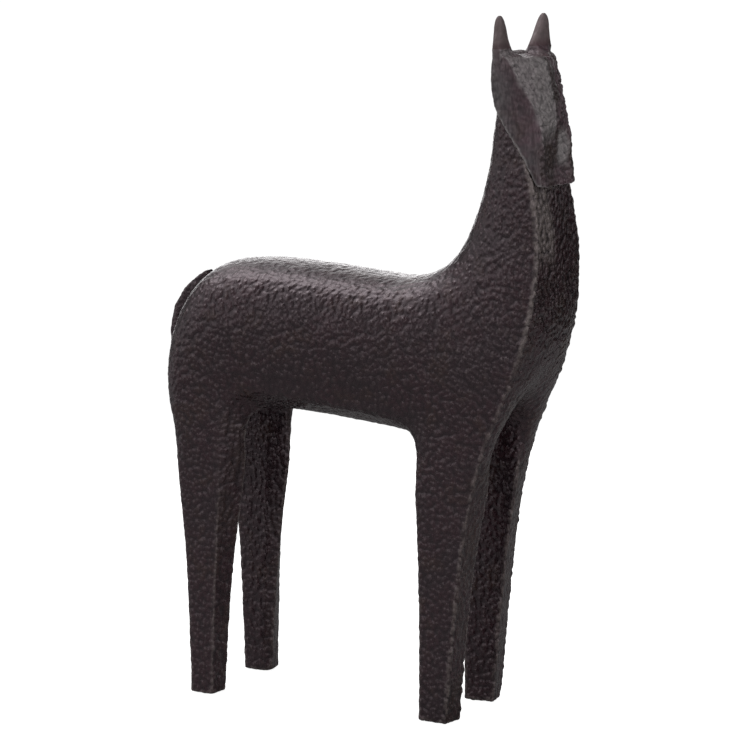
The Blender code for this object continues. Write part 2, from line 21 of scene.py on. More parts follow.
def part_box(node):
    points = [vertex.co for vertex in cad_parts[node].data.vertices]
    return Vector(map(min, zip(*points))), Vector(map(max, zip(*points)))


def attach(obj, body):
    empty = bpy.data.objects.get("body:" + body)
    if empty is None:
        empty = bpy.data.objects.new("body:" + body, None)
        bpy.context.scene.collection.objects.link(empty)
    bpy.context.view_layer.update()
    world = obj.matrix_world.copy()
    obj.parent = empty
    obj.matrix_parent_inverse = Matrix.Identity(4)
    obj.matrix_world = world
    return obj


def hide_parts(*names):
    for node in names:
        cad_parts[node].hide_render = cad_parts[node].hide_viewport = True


MM = 0.001
FIT = 0.3 * MM  # the frame's clearance between two pieces
SAME_POINT = 1e-6
STILL = (0, 0, 0)
FINER_LAYER = 2.1  # how much finer the second layer of a noise is

LEGS = ("foreleg_left", "foreleg_right", "hindleg_left", "hindleg_right")
PLUGS = ("belly_plug_fore", "belly_plug_hind")
EARS = ("ear_left", "ear_right")

# Rounding of the frame's facets.
ROUND_BELOW = math.radians(38)  # frame facets that meet at less than this are parts of one curve
BULGE = 0.75  # share of the full bulge that a facet gets, so that rows of facets read as a curve

# Sizes of the small quads of a skin.
BODY_VOXEL = 0.9 * MM
HEAD_VOXEL = 0.5 * MM
SMALL_VOXEL = 0.4 * MM

# Core plugs: a slab under each bars the way into the barrel's hollow.
BAR_WIDER = 1.5 * MM
BAR_ABOVE_PLUG_FOOT = 3.5 * MM

# Where the ears grow from the head, measured from its top.
EARS_PARTED_ABOVE = 1.5 * MM
EARS_SUNK_BY = (0.5 * MM, 1.5 * MM)  # copies of the ears that reach into the head
FILLET_BELOW_TOP = (4 * MM, 2 * MM)
FILLET_ROUNDS = 160

# What the materials are told about each vertex.
ARRIS_ROUNDS = 12  # rounds of relaxing that an arris stands proud of
ARRIS_PROUD = (0.07, 0.24)  # in millimetres
FACING_FRONT = (0.15, 0.6)  # forward part of the normal
RELIEF_ROUNDS = 3
RELIEF_SPAN = 0.3  # millimetres from the deepest pit to the highest tip

# Heights of the body's relief, in millimetres.
BODY_DABS = 0.95
BODY_CHIPS = 0.3
BODY_BEADS = 1.3
BODY_UNDULATION = 0.25
BODY_SUNK = 0.7  # brings the mean level of the relief back to the frame's surface

# Places on the body, in millimetres above the floor, ahead of the frame's origin or left of its middle.
LEGS_BELOW = (165, 135)
CHEST_AHEAD = (40, 60)
# The pale ridge is rubbed wear with a painted highlight on its bevel, and the pale throat is painted light
# right of the middle.
PALE_RIDGE_AHEAD = (60, 80)
PALE_RIDGE_ABOVE = (200, 240)
PALE_THROAT_ABOVE = (258, 276)
PALE_THROAT_RIGHT_OF = (-4, -10)
TURNED_AHEAD = (-0.3, 0.2)  # forward part of the normal, for edges beside the front

# Heights of the head's relief, in millimetres.
HEAD_DABS = 1.3
HEAD_STROKES = 0.3
HEAD_FINE_STROKES = 0.14
BROW_DABS = 1.6
CROWN_RISE = 0.7
CROWN_DIP = 3.2
SCOOP_DEPTH = 2.6
EAR_RIPPLE = 0.12

# Places on the head, in millimetres below its top, behind its foremost point or left of its middle. Within is
# to both sides of the middle, and a place above another has less below the top.
BROW_ABOVE = (60, 45)
CROWN_WITHIN = (18, 12)
CROWN_ABOVE = (6, 2)
CROWN_DIPS_BEHIND = (9, 18)
SCOOP_WITHIN = (18.5, 10)
SCOOP_BELOW = (36, 50)
SCOOP_ABOVE = (73, 66)
SMOOTH_EARS_ABOVE = (-0.5, -2.5)
# Painted light: the forehead's right half, the cheek's rear and the ears; painted highlights: a patch by the
# nose and the jaw's edge.
FOREHEAD_RIGHT_OF = (3, -1)
FOREHEAD_BELOW = (-4, 2)
FOREHEAD_ABOVE = (54, 40)
NOSE_PATCH_LEFT = 10
NOSE_PATCH_WITHIN = (7, 3)
NOSE_PATCH_BELOW = 54
NOSE_PATCH_HEIGHT = (13, 5)
CHEEK_BEHIND = (12, 24)
CHEEK_ABOVE = (50, 36)
JAW_BELOW = (28, 40)
PALE_EARS_ABOVE = (-2, -7)

# How far patches are made pale, from 0 to 1, and how far their borders wander, in millimetres. The pale
# patches of the forehead, cheek, ears and throat are painted light, and those by the nose and on the jaw's
# edge are painted highlights.
PALE_FOREHEAD = 0.78
PALE_CHEEK = 0.3
PALE_THROAT = 0.9
BODY_WANDER = 3.0
HEAD_WANDER = 2.0

PAD_FUZZ = 0.06 * MM

# Colors of the sides, of what faces ahead, and one shared by rubbed wear and painted light. The body's side
# color is its patina, with a warmer brown on what faces ahead. The head's and ears' colors are painted
# lighter than the body's, as they are lit more, and the head's color for what faces ahead is painted shade.
BODY_PATINA_AND_PAINTED_LIGHT = {"side": (0.018, 0.0072, 0.0105), "front": (0.025, 0.0115, 0.009), "wear_and_painted_light": (0.25, 0.212, 0.2)}
HEAD_PATINA_AND_PAINTED_LIGHT = {"side": (0.074, 0.072, 0.076), "front": (0.036, 0.022, 0.018), "wear_and_painted_light": (0.46, 0.43, 0.43)}
EAR_PATINA_AND_PAINTED_LIGHT = {"side": (0.06, 0.046, 0.045), "front": (0.06, 0.046, 0.045), "wear_and_painted_light": (0.2, 0.16, 0.155)}
RUDDY = (1.5, 0.85, 1)  # what the ruddy clouds make of the side's color
EARTHY = (1.2, 1, 0.7)  # what the earthy clouds make of the front's color
PIT_SHADE = 0.3  # what pits keep of the side's color
PATINA_IOR = 1.8
SHEEN_TINT = (1.0, 0.83, 0.9, 1)  # the patina's reflections are a little rosy

# Patterns in the patina, by the number of their features in a metre.
BROAD_CLOUDS = 38.0
EARTHY_CLOUDS = 61.0
SCALES = 370.0
FLECKS = 420.0
FINE_GRAIN = 900.0

# Depths of the patina's fine texture.
SCALE_DEPTH = 1.2 * MM
FLECK_DEPTH = 0.4 * MM
FINE_DEPTH = 0.15 * MM

ROD_COLOR = (0.42, 0.26, 0.12)
ROD_ROUGHNESS = 0.35
TURNING_MARKS = 1500.0  # in a metre
FELT_DARK, FELT_PALE = (0.006, 0.006, 0.007, 1), (0.03, 0.03, 0.032, 1)
FELT_FIBRES = 2500.0  # in a metre

FLOOR_RADIUS = 0.9  # small enough for the horse's edges to mirror the white surround behind it
FLOOR_GLOW = 0.9  # what the camera sees of the floor beside the light that falls on it
FLOOR_SEEN = (0.85, 0.85, 0.85, 1)
FLOOR_FOR_LIGHT = (0.35, 0.35, 0.35, 1)  # darker, so that it throws little light up at the belly
SURROUND_SEEN = 1.05

# Soft light by direction: azimuth and elevation it comes from, in degrees, how tight it is, and its strength.
STUDIO = {
    "key, high on the left": (-60, 40, 12, 0.85),
    "beside the key": (-40, 24, 12, 0.25),
    "fill beside the camera": (33, 6, 12, 0.7),
    "small card on the left": (-36, 8, 60, 0.65),
    "low fill": (0, -2, 12, 0.25),
    "left card": (-85, -6, 12, 0.5),
    "overhead": (-95, 62, 20, 3.3),
    "high in front": (75, 40, 12, 1.3),
    "front strip": (120, 10, 45, 1.1),
    "rim from behind": (-150, 32, 45, 0.7),
    "rim from behind left": (-130, 32, 45, 0.8),
    "far front": (150, 16, 45, 0.35),
    "right strip": (70, 5, 45, 0.3),
    "backdrop": (-152, 3, 26, 3.4),
}

# The view of the reference: the point looked at, and where the camera stands from there.
CAMERA_TARGET = Vector((6.1, 0, 194.2)) * MM
CAMERA_AZIMUTH = 28.11
CAMERA_ELEVATION = 8.409
CAMERA_DISTANCE = 1.799
LENS_LENGTH = 151.0  # in millimetres, as the sensor's width
SENSOR_WIDTH = 36


# --- Patterns in space -----------------------------------------------------------------------------------


def scramble(cells, salt):
    """Repeatable random numbers from 0 to 1, one for each whole-numbered cell."""
    mixed = cells @ np.array([73856093, 19349663, 83492791]) + salt * 2654435761 & 0xFFFFFFFF
    mixed = (mixed ^ (mixed >> 13)) * 1274126177 & 0xFFFFFFFF
    mixed = (mixed ^ (mixed >> 16)) * 1597334677 & 0xFFFFFFFF
    return ((mixed ^ (mixed >> 15)) & 0xFFFFFF) / float(0x1000000)


def soft_noise(points, size, salt):
    """Smooth noise from -1 to 1 with features of about the given size, one number or one for each axis."""
    scaled = points / size
    base = np.floor(scaled).astype(np.int64)
    part = scaled - base
    part = part * part * (3 - 2 * part)
    total = np.zeros(len(points))
    for corner in itertools.product((0, 1), repeat=3):
        weight = np.prod(np.where(np.array(corner, bool), part, 1 - part), axis=1)
        total += weight * scramble(base + corner, salt)
    return total * 2 - 1


def layered_noise(points, size, salt):
    """Soft noise with a finer and fainter layer on top."""
    finer = soft_noise(points, size / FINER_LAYER, salt + 17)
    return (soft_noise(points, size, salt) + 0.5 * finer) / 1.75


def sway(at, size, salt):
    """Drift of each point, along each axis from about -1 to 1, which bends a pattern out of its grid."""
    return np.stack([layered_noise(at, size, salt + axis) for axis in range(3)], axis=1)


def dabs(points, size, salt, stretch=0.6):
    """Height from 0 to 1 of overlapping long dabs of clay, about one for each cell of the given size."""
    scaled = points / size
    base = np.floor(scaled).astype(np.int64)
    height = np.zeros(len(points))
    for step in itertools.product((-1, 0, 1), repeat=3):
        cell = base + step
        draw = [scramble(cell, salt + k) for k in range(8)]
        away = scaled - cell - np.stack(draw[:3], axis=1)
        along = np.stack(draw[3:6], axis=1) * 2 - 1
        along /= np.linalg.norm(along, axis=1, keepdims=True) + 1e-9
        reach = 0.7 + 0.45 * draw[6]
        spread = (away**2).sum(axis=1) - stretch * (away * along).sum(axis=1) ** 2
        height = np.maximum(height, (1 - spread / reach**2) * (0.55 + 0.45 * draw[7]))
    return height


def fade(value, low, high):
    """0 below low, 1 above high, smooth between. With low above high it falls."""
    t = np.clip((value - low) / (high - low), 0, 1)
    return t * t * (3 - 2 * t)


# --- Meshes ----------------------------------------------------------------------------------------------


def read_points(mesh):
    points = np.empty(len(mesh.vertices) * 3)
    mesh.vertices.foreach_get("co", points)
    return points.reshape(-1, 3)


def write_points(mesh, points):
    mesh.vertices.foreach_set("co", points.astype(np.float32).ravel())
    mesh.update()


def vertex_normals(mesh):
    normals = np.empty(len(mesh.vertices) * 3)
    mesh.vertex_normals.foreach_get("vector", normals)
    return normals.reshape(-1, 3)


def read_edges(mesh):
    edges = np.empty(len(mesh.edges) * 2, np.int64)
    mesh.edges.foreach_get("vertices", edges)
    return edges.reshape(-1, 2)


def write_value(mesh, name, values):
    """A number for each vertex, which materials read by name."""
    layer = mesh.attributes.get(name) or mesh.attributes.new(name, "FLOAT", "POINT")
    layer.data.foreach_set("value", values.astype(np.float32))


def around(values, edges):
    """The mean of the values at each vertex's neighbours."""
    count = np.zeros(len(values))
    for column in (0, 1):
        count += np.bincount(edges[:, column], minlength=len(values))
    flat = values.reshape(len(values), -1)
    total = np.zeros_like(flat)
    for k in range(flat.shape[1]):
        for near, far in ((0, 1), (1, 0)):
            total[:, k] += np.bincount(edges[:, near], weights=flat[edges[:, far], k], minlength=len(values))
    return (total / count[:, None]).reshape(values.shape)


def relaxed(values, edges, rounds, share=0.5):
    for _ in range(rounds):
        values = values * (1 - share) + around(values, edges) * share
    return values


def joined(sources):
    """One bmesh of copies of CAD nodes or meshes, each moved by an offset."""
    bm = bmesh.new()
    for mesh, offset in sources:
        start = len(bm.verts)
        bm.from_mesh(mesh)
        bm.verts.ensure_lookup_table()
        bmesh.ops.translate(bm, vec=offset, verts=bm.verts[start:])
    bmesh.ops.remove_doubles(bm, verts=bm.verts, dist=SAME_POINT)
    return bm


def voxel_skin(name, sources, voxel):
    """The outer skin of all the sources together, as one even mesh of small quads."""
    bm = joined(sources)
    rough = bpy.data.meshes.new(name + "_rough")
    bm.to_mesh(rough)
    bm.free()
    obj = bpy.data.objects.new(name + "_rough", rough)
    bpy.context.scene.collection.objects.link(obj)
    remesh = obj.modifiers.new("Even skin", "REMESH")
    remesh.mode = "VOXEL"
    remesh.voxel_size = voxel
    graph = bpy.context.evaluated_depsgraph_get()
    mesh = bpy.data.meshes.new_from_object(obj.evaluated_get(graph), depsgraph=graph)
    bpy.data.objects.remove(obj)
    bpy.data.meshes.remove(rough)
    mesh.name = name
    return mesh


class RoundedForm:
    """CAD nodes as one surface whose facets bulge to follow the curve that they stand for."""

    def __init__(self, nodes, leave_out=None):
        corners, normals = [], []
        for node in nodes:
            bm = joined([(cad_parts[node].data, STILL)])
            bmesh.ops.triangulate(bm, faces=bm.faces)
            mesh = bpy.data.meshes.new("facets")
            bm.to_mesh(mesh)
            bm.free()
            imported = mesh.attributes.get("custom_normal")
            if imported:
                mesh.attributes.remove(imported)
            mesh.shade_smooth()
            mesh.set_sharp_from_angle(angle=ROUND_BELOW)
            index = np.empty(len(mesh.loops), np.int64)
            mesh.loops.foreach_get("vertex_index", index)
            normal = np.empty(len(mesh.loops) * 3)
            mesh.corner_normals.foreach_get("vector", normal)
            corners.append(read_points(mesh)[index].reshape(-1, 3, 3))
            normals.append(normal.reshape(-1, 3, 3))
            bpy.data.meshes.remove(mesh)
        self.corners, self.normals = np.concatenate(corners), np.concatenate(normals)
        if leave_out is not None:
            keep = ~leave_out(self.corners)
            self.corners, self.normals = self.corners[keep], self.normals[keep]
        points = self.corners.reshape(-1, 3)
        triangles = np.arange(len(points)).reshape(-1, 3)
        self.tree = BVHTree.FromPolygons(points.tolist(), triangles.tolist())

    def pull(self, points):
        """The points brought onto the bulging surface."""
        hits = [self.tree.find_nearest(Vector(p)) for p in points]
        near = np.array([hit[0] for hit in hits])
        index = np.array([hit[2] for hit in hits])
        corners, normals = self.corners[index], self.normals[index]
        first, second = corners[:, 1] - corners[:, 0], corners[:, 2] - corners[:, 0]
        across = near - corners[:, 0]
        d00, d01, d11 = ((a * b).sum(axis=1) for a, b in ((first, first), (first, second), (second, second)))
        d20, d21 = (across * first).sum(axis=1), (across * second).sum(axis=1)
        span = np.maximum(d00 * d11 - d01 * d01, 1e-20)
        b, c = (d11 * d20 - d01 * d21) / span, (d00 * d21 - d01 * d20) / span
        weights = np.clip(np.stack([1 - b - c, b, c], axis=1), 0, 1)
        weights /= weights.sum(axis=1, keepdims=True)
        lift = ((near[:, None] - corners) * normals).sum(axis=2, keepdims=True) * normals
        return near - BULGE * (lift * weights[:, :, None]).sum(axis=1)


def rounded_skin(name, sources, form, voxel, softening):
    """An even skin of the sources, lying on the rounded form."""
    mesh = voxel_skin(name, sources, voxel)
    points = form.pull(read_points(mesh))
    write_points(mesh, relaxed(points, read_edges(mesh), softening))
    mesh.shade_smooth()
    return mesh


def proudness(mesh, rounds):
    """How far each vertex stands proud of the smooth surface through its neighbours, in millimetres."""
    points = read_points(mesh)
    away = points - relaxed(points, read_edges(mesh), rounds)
    return (away * vertex_normals(mesh)).sum(axis=1) / MM


def fill_hollows(mesh, rounds, where):
    """Rounds out hollow corners into fillets; where is 1 at the vertices to treat and 0 elsewhere."""
    points, edges = read_points(mesh), read_edges(mesh)
    for _ in range(rounds):
        normals = vertex_normals(mesh)
        inward = ((around(points, edges) - points) * normals).sum(axis=1)
        points += normals * (np.maximum(inward, 0) * where)[:, None]
        write_points(mesh, points)


def raise_relief(mesh, relief, paleness=None):
    """Moves each vertex out by what relief says, and keeps for the materials what they need to know.

    relief gives a height in millimetres from the points in millimetres, the normals and the arris, which is
    1 along the form's outward edges. paleness says in the same way where the color is made pale, for painted
    light, painted highlights and some rubbed wear.
    """
    points, normals = read_points(mesh), vertex_normals(mesh)
    edges = read_edges(mesh)
    arris = fade(relaxed(proudness(mesh, ARRIS_ROUNDS), edges, 3), *ARRIS_PROUD)
    write_value(mesh, "arris", arris)
    write_value(mesh, "facing_front", fade(normals[:, 0], *FACING_FRONT))
    if paleness:
        write_value(mesh, "pale", paleness(points / MM, normals, arris))
    height = relief(points / MM, normals, arris)
    write_points(mesh, points + normals * (height * MM)[:, None])
    write_value(mesh, "relief", np.clip(0.5 + proudness(mesh, RELIEF_ROUNDS) / RELIEF_SPAN, 0, 1))


def parted(whole, levels, part_of):
    """The whole mesh cut at levels into one closed mesh for each part, which keeps the whole's shading."""
    cut = bmesh.new()
    cut.from_mesh(whole)
    for level in levels:
        everything = cut.verts[:] + cut.edges[:] + cut.faces[:]
        bmesh.ops.bisect_plane(cut, geom=everything, plane_co=(0, 0, level), plane_no=(0, 0, 1), dist=1e-7)
    cut.to_mesh(whole)
    cut.free()
    normals = vertex_normals(whole)
    names = [part_of(polygon.center) for polygon in whole.polygons]
    parts = {}
    for name in sorted(set(names)):
        bm = bmesh.new()
        bm.from_mesh(whole)
        origin = bm.verts.layers.int.new("origin")
        for i, vert in enumerate(bm.verts):
            vert[origin] = i
        others = [face for face, owner in zip(bm.faces, names) if owner != name]
        bmesh.ops.delete(bm, geom=others, context="FACES")
        rims = [edge for edge in bm.edges if edge.is_boundary]
        caps = bmesh.ops.holes_fill(bm, edges=rims, sides=0)["faces"]
        bmesh.ops.recalc_face_normals(bm, faces=bm.faces)
        for cap in caps:
            cap.smooth = False
        mesh = bpy.data.meshes.new(name + "_casting")
        bm.to_mesh(mesh)
        bm.free()
        shading = []
        source = mesh.attributes["origin"].data
        for polygon in mesh.polygons:
            if polygon.use_smooth:
                shading += [normals[source[v].value] for v in polygon.vertices]
            else:
                shading += [polygon.normal[:]] * polygon.loop_total
        mesh.normals_split_custom_set(shading)
        mesh.attributes.remove(mesh.attributes["origin"])
        parts[name] = mesh
    bpy.data.meshes.remove(whole)
    return parts


# --- Materials -------------------------------------------------------------------------------------------


class Nodes:
    """Shorthand to build a material's node tree."""

    def __init__(self, name):
        self.material = bpy.data.materials.new(name)
        self.material.use_nodes = True
        self.tree = self.material.node_tree
        self.shader = self.tree.nodes["Principled BSDF"]

    def add(self, kind, inputs=None, **settings):
        node = self.tree.nodes.new("ShaderNode" + kind)
        for key, value in settings.items():
            setattr(node, key, value)
        for key, value in (inputs or {}).items():
            self.set(node.inputs[key], value)
        return node

    def set(self, socket, value):
        if isinstance(value, bpy.types.NodeSocket):
            self.tree.links.new(value, socket)
        else:
            socket.default_value = value

    def value_of(self, attribute):
        return self.add("Attribute", attribute_name=attribute).outputs["Fac"]

    def noise(self, position, scale, detail=3.0, roughness=0.55):
        inputs = {"Vector": position, "Scale": scale, "Detail": detail, "Roughness": roughness}
        return self.add("TexNoise", inputs).outputs["Fac"]

    def ramp(self, value, low, high, start, end):
        """value from low..high brought to start..end, held at the ends."""
        inputs = {"Value": value, "From Min": low, "From Max": high, "To Min": start, "To Max": end}
        return self.add("MapRange", inputs).outputs["Result"]

    def mix(self, share, first, second):
        node = self.add("Mix", data_type="RGBA")
        for index, value in ((0, share), (6, first), (7, second)):
            self.set(node.inputs[index], value)
        return node.outputs[2]

    def math(self, operation, first, second):
        return self.add("Math", {0: first, 1: second}, operation=operation).outputs[0]


def patinated_bronze(name, side, front, wear_and_painted_light, roughness=(0.37, 0.17), grain=1.0):
    """Dark patina: one color on the sides, one on what faces ahead, rubbed lighter on what stands proud, and
    made pale where the pale attribute paints light and highlights.

    roughness is given for the pits and for the tips, and grain says how strong the fine texture is.
    """
    n = Nodes(name)
    place = n.add("TexCoord").outputs["Object"]
    broad = n.noise(place, BROAD_CLOUDS, detail=3.0, roughness=0.6)
    cast = n.noise(place, EARTHY_CLOUDS, detail=2.0)
    fine = n.noise(place, FINE_GRAIN, detail=3.0, roughness=0.6)
    flecks = n.noise(place, FLECKS, detail=2.0, roughness=0.6)
    cells = n.add("TexVoronoi", {"Vector": place, "Scale": SCALES, "Randomness": 1.0}, feature="SMOOTH_F1")
    scales = cells.outputs["Distance"]
    relief = n.value_of("relief")
    arris = n.value_of("arris")

    # What faces ahead takes the front color, which on the head is painted shade.
    ahead = n.math("MULTIPLY", n.value_of("facing_front"), n.ramp(broad, 0.3, 0.6, 0.6, 1.0))
    clear = n.mix(ahead, (*side, 1), (*front, 1))
    ruddy = tuple(c * change for c, change in zip(side, RUDDY)) + (1,)
    earthy = tuple(c * change for c, change in zip(front, EARTHY)) + (1,)
    clouded = n.mix(n.ramp(broad, 0.42, 0.58, 0.9, 0.0), clear, ruddy)
    clouded = n.mix(n.ramp(cast, 0.54, 0.66, 0.0, 0.7), clouded, earthy)
    # The pale attribute paints light and highlights in the pale color, and on the body's ridge rubbed wear as
    # well.
    pale = n.math("MULTIPLY", n.value_of("pale"), n.ramp(fine, 0.3, 0.7, 0.7, 1.0))
    base = n.mix(pale, clouded, (*wear_and_painted_light, 1))

    tips = n.math("MULTIPLY", n.ramp(relief, 0.5, 0.95, 0.0, 0.25), n.ramp(fine, 0.3, 0.7, 0.5, 1.0))
    edges = n.math("MULTIPLY", arris, n.ramp(relief, 0.35, 0.8, 0.0, 0.3))
    scale_tips = n.ramp(scales, 0.08, 0.3, 0.12 * grain, 0.0)
    rubbed = n.math("ADD", n.math("ADD", tips, edges), scale_tips)
    color = n.mix(rubbed, base, (*wear_and_painted_light, 1))
    pits = tuple(c * PIT_SHADE for c in side) + (1,)
    color = n.mix(n.ramp(relief, 0.15, 0.5, 0.3, 1.0), pits, color)
    color = n.mix(n.ramp(scales, 0.4, 0.62, 0.0, 0.75 * grain), color, pits)
    n.set(n.shader.inputs["Base Color"], color)
    n.set(n.shader.inputs["IOR"], PATINA_IOR)
    n.set(n.shader.inputs["Specular Tint"], SHEEN_TINT)
    n.set(n.shader.inputs["Roughness"], n.ramp(n.math("ADD", relief, flecks), 0.6, 1.5, *roughness))

    upward = n.add("SeparateXYZ", {"Vector": n.add("NewGeometry").outputs["Normal"]}).outputs["Z"]
    smoother_above = n.ramp(upward, 0.3, 0.8, 0.85 * grain, 0.3 * grain)
    layers = ((scales, smoother_above, SCALE_DEPTH, True), (flecks, 0.6 * grain, FLECK_DEPTH, False),
              (fine, 0.4 * grain, FINE_DEPTH, False))
    normal = None
    for height, strength, depth, invert in layers:
        bump = n.add("Bump", {"Strength": strength, "Distance": depth, "Height": height}, invert=invert)
        if normal:
            n.set(bump.inputs["Normal"], normal)
        normal = bump.outputs["Normal"]
    n.set(n.shader.inputs["Normal"], normal)
    return n.material


def plain_metal(name, color, roughness):
    """Drawn bronze rod with faint turning marks."""
    n = Nodes(name)
    place = n.add("TexCoord").outputs["Object"]
    marks = n.noise(place, TURNING_MARKS, detail=2.0)
    dark = tuple(c * 0.7 for c in color)
    n.set(n.shader.inputs["Base Color"], n.mix(marks, (*dark, 1), (*color, 1)))
    n.set(n.shader.inputs["Metallic"], 1.0)
    n.set(n.shader.inputs["Roughness"], n.ramp(marks, 0.3, 0.7, roughness * 0.8, roughness * 1.2))
    return n.material


def felt_cloth(name):
    """Dark felt with a fibrous face."""
    n = Nodes(name)
    place = n.add("TexCoord").outputs["Object"]
    fibre = n.noise(place, FELT_FIBRES, detail=5.0, roughness=0.7)
    n.set(n.shader.inputs["Base Color"], n.mix(fibre, FELT_DARK, FELT_PALE))
    n.set(n.shader.inputs["Roughness"], 0.95)
    n.set(n.shader.inputs["Sheen Weight"], 0.4)
    bump = n.add("Bump", {"Strength": 0.8, "Distance": 0.2 * MM, "Height": fibre})
    n.set(n.shader.inputs["Normal"], bump.outputs["Normal"])
    return n.material


# --- Body ------------------------------------------------------------------------------------------------


def piece(name, mesh, material, slot, *nodes):
    """A shown piece that stands for CAD nodes."""
    obj = bpy.data.objects.new(name, mesh)
    bpy.context.scene.collection.objects.link(obj)
    mesh.materials.clear()
    mesh.materials.append(material)
    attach(obj, "root")
    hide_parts(*nodes)
    return obj


def disc_below(node, radius, low, high):
    """A closed round slab under a plug, which bars the way into the barrel's hollow."""
    lowest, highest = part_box(node)
    middle = (lowest + highest) / 2
    bm = bmesh.new()
    bmesh.ops.create_cone(bm, cap_ends=True, segments=32, radius1=radius, radius2=radius, depth=high - low)
    bmesh.ops.translate(bm, vec=(middle.x, middle.y, (low + high) / 2), verts=bm.verts)
    mesh = bpy.data.meshes.new(node + "_bar")
    bm.to_mesh(mesh)
    bm.free()
    return mesh


def body_relief(at, normals, arris):
    """Dabs of clay on the body and legs, with a row of beads along the edges."""
    drift = sway(at, size=9.0, salt=3)
    bent = at + 1.2 * drift
    lumps = dabs(bent, size=2.9, salt=11)
    chips = dabs(bent * (1, 1, 0.55), size=1.9, salt=29)
    beads = dabs(at + 0.5 * drift, size=3.3, salt=37, stretch=0.3)
    undulation = layered_noise(at, size=16.0, salt=51)
    strength = 0.75 + 0.35 * layered_noise(at, size=30.0, salt=61)
    on_leg = fade(at[:, 2], *LEGS_BELOW)
    on_chest = fade(normals[:, 0], *TURNED_AHEAD) * fade(at[:, 0], *CHEST_AHEAD)
    height = BODY_DABS * lumps * strength * (1 - 0.45 * on_leg) + BODY_CHIPS * chips * (0.7 + 0.6 * on_leg)
    height += arris * (0.25 + 0.75 * on_chest) * (BODY_BEADS * beads - 0.5)
    return height - BODY_SUNK + BODY_UNDULATION * undulation


def body_ridge_wear_and_painted_light(at, normals, arris):
    """Paler along the ridge of chest and neck, as rubbed wear with a painted highlight, and painted light
    below the chin beside it, on the right of the middle.
    """
    wander = BODY_WANDER * layered_noise(at, size=9.0, salt=131)
    # Painted highlight along the ridge's bevel, partly rubbed wear.
    ridge = fade(normals[:, 0], *TURNED_AHEAD) * fade(at[:, 0], *PALE_RIDGE_AHEAD)
    ridge *= fade(at[:, 2], *PALE_RIDGE_ABOVE)
    # Painted light below the chin, on its right side.
    throat = fade(normals[:, 0], 0.3, 0.6) * fade(at[:, 1] + wander, *PALE_THROAT_RIGHT_OF)
    throat *= fade(at[:, 2] + wander, *PALE_THROAT_ABOVE)
    return np.clip(ridge * arris * (1 + 0.2 * wander) + PALE_THROAT * throat, 0, 1)


def build_body(finish):
    """Torso, neck and legs as one skin, parted at the flat joints of the castings."""
    torso_low, torso_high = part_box("torso")
    leg_seam, neck_seam = torso_low.z - FIT / 2, torso_high.z + FIT / 2
    nodes = ("torso", "neck") + LEGS

    def in_joints(corners):
        """Facets that lie in the flat joints, which are no part of the skin."""
        heights = corners[:, :, 2]
        flat = np.ptp(heights, axis=1) < SAME_POINT
        level = heights.mean(axis=1)
        near = np.minimum(abs(level - leg_seam), abs(level - neck_seam)) < FIT
        return flat & near

    form = RoundedForm(nodes, in_joints)
    sources = [(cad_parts[node].data, STILL) for node in nodes]
    sources += [(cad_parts[leg].data, (0, 0, FIT)) for leg in LEGS]
    sources += [(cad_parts["neck"].data, (0, 0, -FIT))]
    for plug in PLUGS:
        low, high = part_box(plug)
        radius = (high.x - low.x) / 2
        bar = disc_below(plug, radius + BAR_WIDER, low.z + BAR_ABOVE_PLUG_FOOT, high.z)
        sources.append((bar, STILL))
    skin = rounded_skin("body_skin", sources, form, BODY_VOXEL, softening=3)
    raise_relief(skin, body_relief, body_ridge_wear_and_painted_light)

    def part_of(centre):
        if centre.z > neck_seam:
            return "neck"
        if centre.z > leg_seam:
            return "torso"
        kind = "foreleg" if centre.x > 0 else "hindleg"
        return kind + ("_left" if centre.y > 0 else "_right")

    for node, mesh in parted(skin, (leg_seam, neck_seam), part_of).items():
        piece(node + "_casting", mesh, finish, "patinated_bronze", node)


# --- Head ------------------------------------------------------------------------------------------------


def below_crown(at):
    """Millimetres from each point up to the top of the head."""
    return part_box("head")[1].z / MM - at[:, 2]


def behind_nose(at):
    """Millimetres from each point ahead to the head's foremost point."""
    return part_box("head")[1].x / MM - at[:, 0]


def head_relief(at, normals, arris):
    """Dabs on the brow, long strokes down the cheeks, a scooped muzzle and smooth ears."""
    bent = at + 0.9 * sway(at, size=7.0, salt=73)
    below, behind, aside = below_crown(at), behind_nose(at), abs(at[:, 1])
    front = fade(normals[:, 0], 0.55, 0.8)
    lumps = dabs(bent, size=2.7, salt=81)
    strokes = soft_noise(bent, np.array([1.1, 1.1, 6.0]), salt=91)
    fine = soft_noise(bent, np.array([0.7, 0.7, 2.5]), salt=95)
    height = front * HEAD_DABS * (lumps - 0.6)
    height += (1 - front) * (HEAD_STROKES * strokes + HEAD_FINE_STROKES * fine)
    brow = arris * fade(normals[:, 0], 0.2, 0.5) * fade(below, *BROW_ABOVE)
    height += brow * (BROW_DABS * lumps - 0.3)
    crown = fade(normals[:, 2], 0.4, 0.7) * fade(aside, *CROWN_WITHIN) * fade(below, *CROWN_ABOVE)
    height += crown * (CROWN_RISE - CROWN_DIP * fade(behind, *CROWN_DIPS_BEHIND))
    scoop = fade(normals[:, 0], 0.25, 0.6) * fade(aside, *SCOOP_WITHIN)
    scoop *= fade(below, *SCOOP_ABOVE)
    scoop *= fade(below, *SCOOP_BELOW)
    height -= SCOOP_DEPTH * scoop
    on_ear = fade(below, *SMOOTH_EARS_ABOVE)
    ripple = layered_noise(at, size=5.0, salt=101)
    return height * (1 - on_ear) + EAR_RIPPLE * on_ear * ripple


